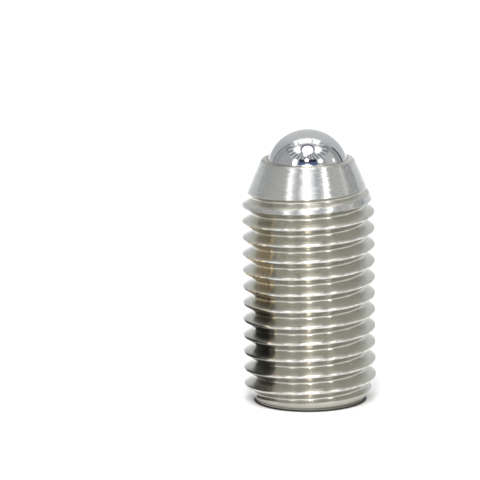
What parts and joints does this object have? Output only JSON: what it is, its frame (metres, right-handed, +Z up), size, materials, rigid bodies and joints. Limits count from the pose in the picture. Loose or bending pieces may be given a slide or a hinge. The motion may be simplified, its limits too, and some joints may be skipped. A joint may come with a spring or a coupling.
{
  "type": "spring plunger",
  "caption": "Threaded spring plunger that holds a work piece or detent with a sprung ball and is screwed in by a hexagon socket.",
  "frame": {"origin": "middle of the flat rim round the hexagon socket, which the plunger stands on", "axes": "+Z up the thread's axis towards the ball; +X passes a corner of the hexagon"},
  "size_m": [0.016, 0.016, 0.0331],
  "materials": {
    "sleeve_steel": "turned stainless steel with bright crests",
    "ball_steel": "ground and polished stainless steel",
    "spring_wire": "drawn stainless spring wire"
  },
  "bodies": {
    "sleeve": {"body": "sleeve_steel"},
    "spring": {"spring": "spring_wire"},
    "ball": {"ball": "ball_steel"}
  },
  "joints": [
    {"name": "ball_press", "type": "slide", "parent": "sleeve", "child": "spring", "axis": [0, 0, -1], "range_m": [0, 0.0035], "stiffness_N_per_m": 12950, "springref_m": -0.0024, "deforming": ["spring"]},
    {"name": "ball_roll", "type": "hinge", "parent": "spring", "child": "ball", "pos_m": [0, 0, 0.02815], "axis": [0, 1, 0], "continuous": true}
  ]
}
